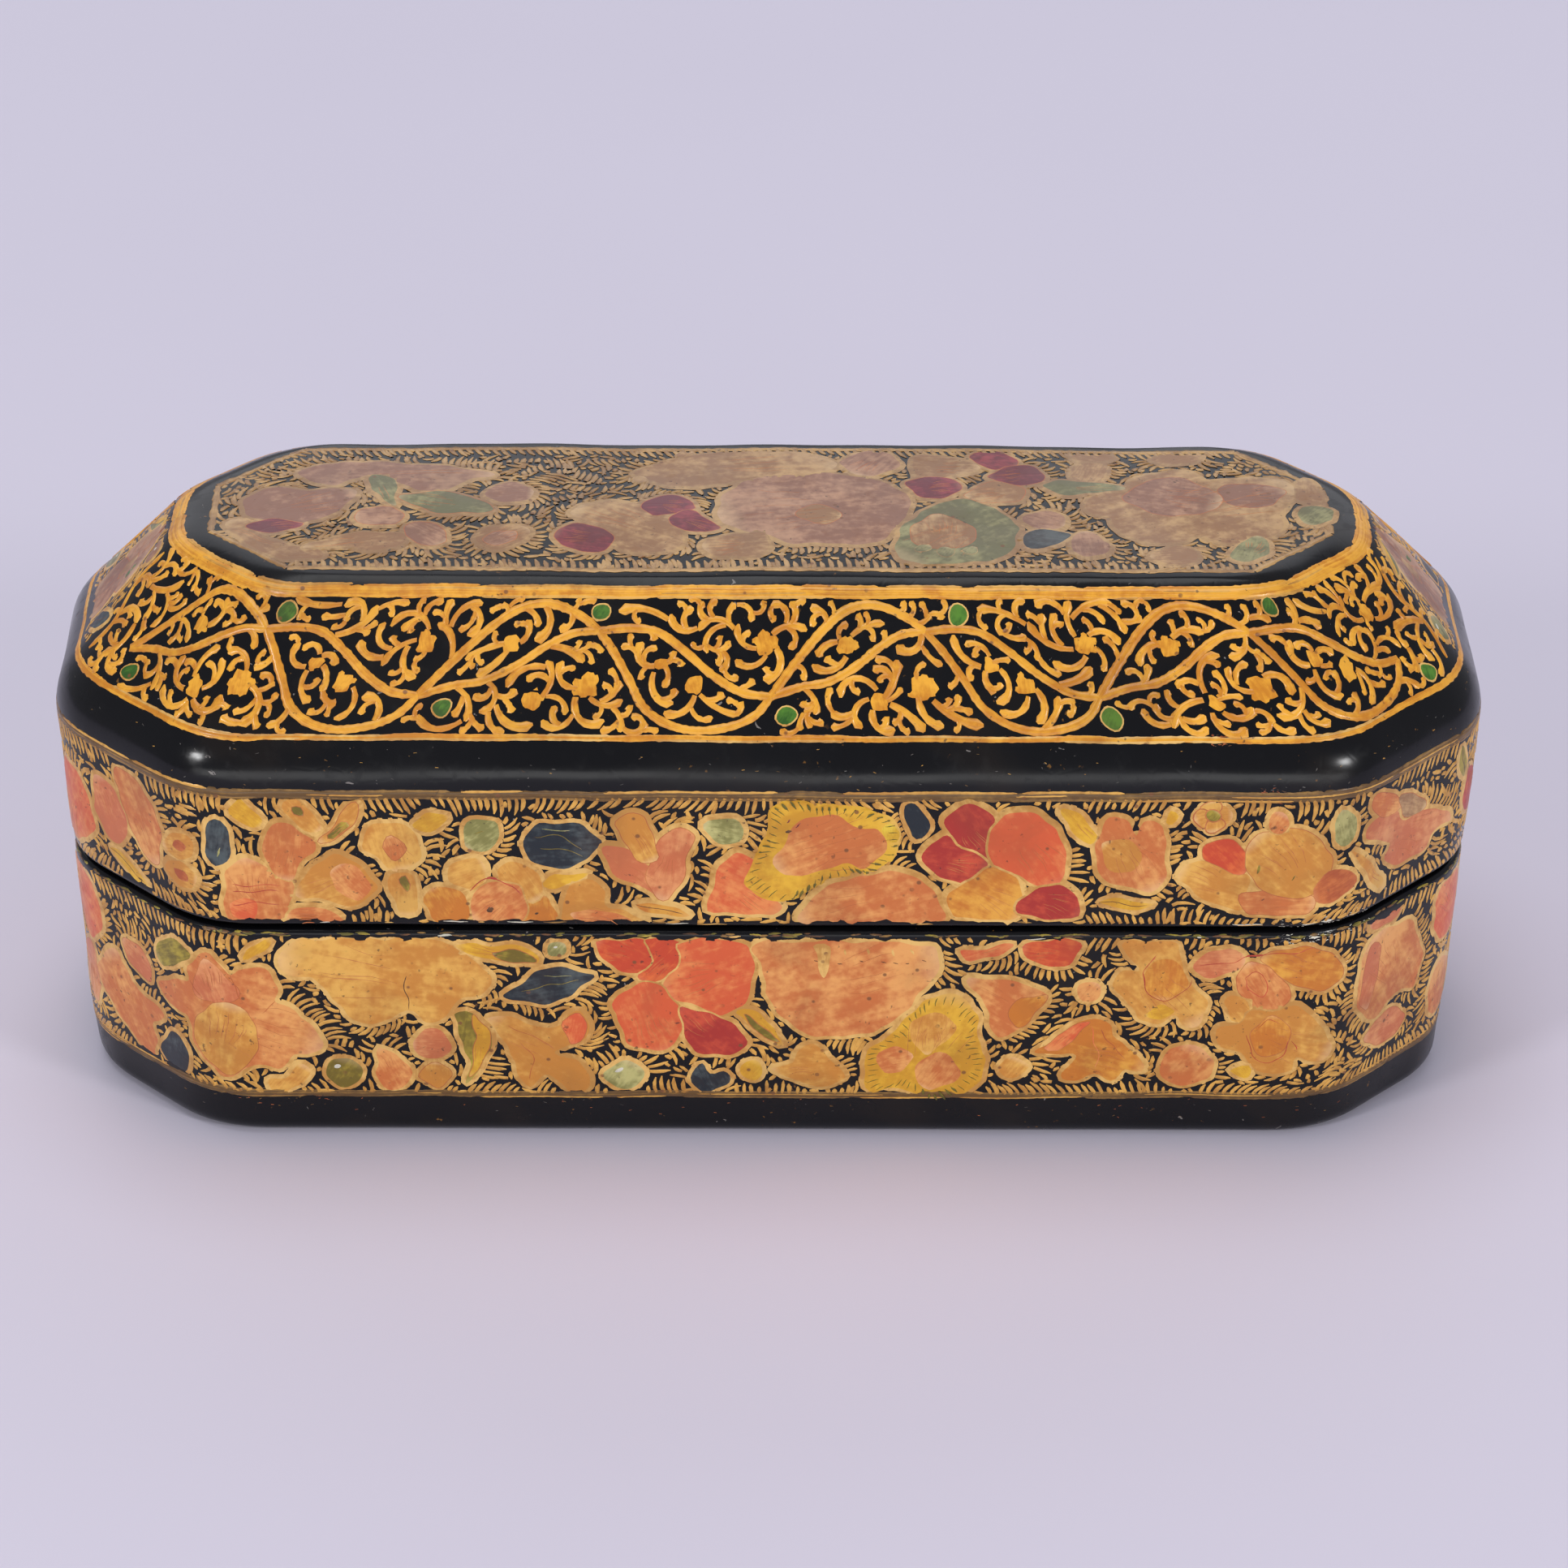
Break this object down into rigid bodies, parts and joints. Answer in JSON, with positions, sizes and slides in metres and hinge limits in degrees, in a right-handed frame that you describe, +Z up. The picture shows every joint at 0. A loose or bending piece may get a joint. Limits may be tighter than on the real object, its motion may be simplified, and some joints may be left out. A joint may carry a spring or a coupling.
{
  "type": "snuff box",
  "caption": "Long eight-sided papier-mache snuff box with a sloped lid that lifts off a glued inner collar, painted with flowers and gold scrolls on black lacquer.",
  "frame": {"origin": "middle of the flat foot, on the surface that the box stands on", "axes": "+X along the length, +Y towards the back, +Z up along the lid's lift"},
  "size_m": [0.1012, 0.0388, 0.0422],
  "materials": {
    "painted_lacquer": "gloss",
    "black_lacquer": "gloss",
    "gold_paint": "satin"
  },
  "bodies": {
    "base": {"base_shell": "painted_lacquer", "inner_collar": "black_lacquer"},
    "lid": {"lid_shell": "painted_lacquer"}
  },
  "joints": [
    {"name": "lid_lift", "type": "slide", "parent": "base", "child": "lid", "axis": [0, 0, 1], "range_m": [0, 0.03]}
  ]
}
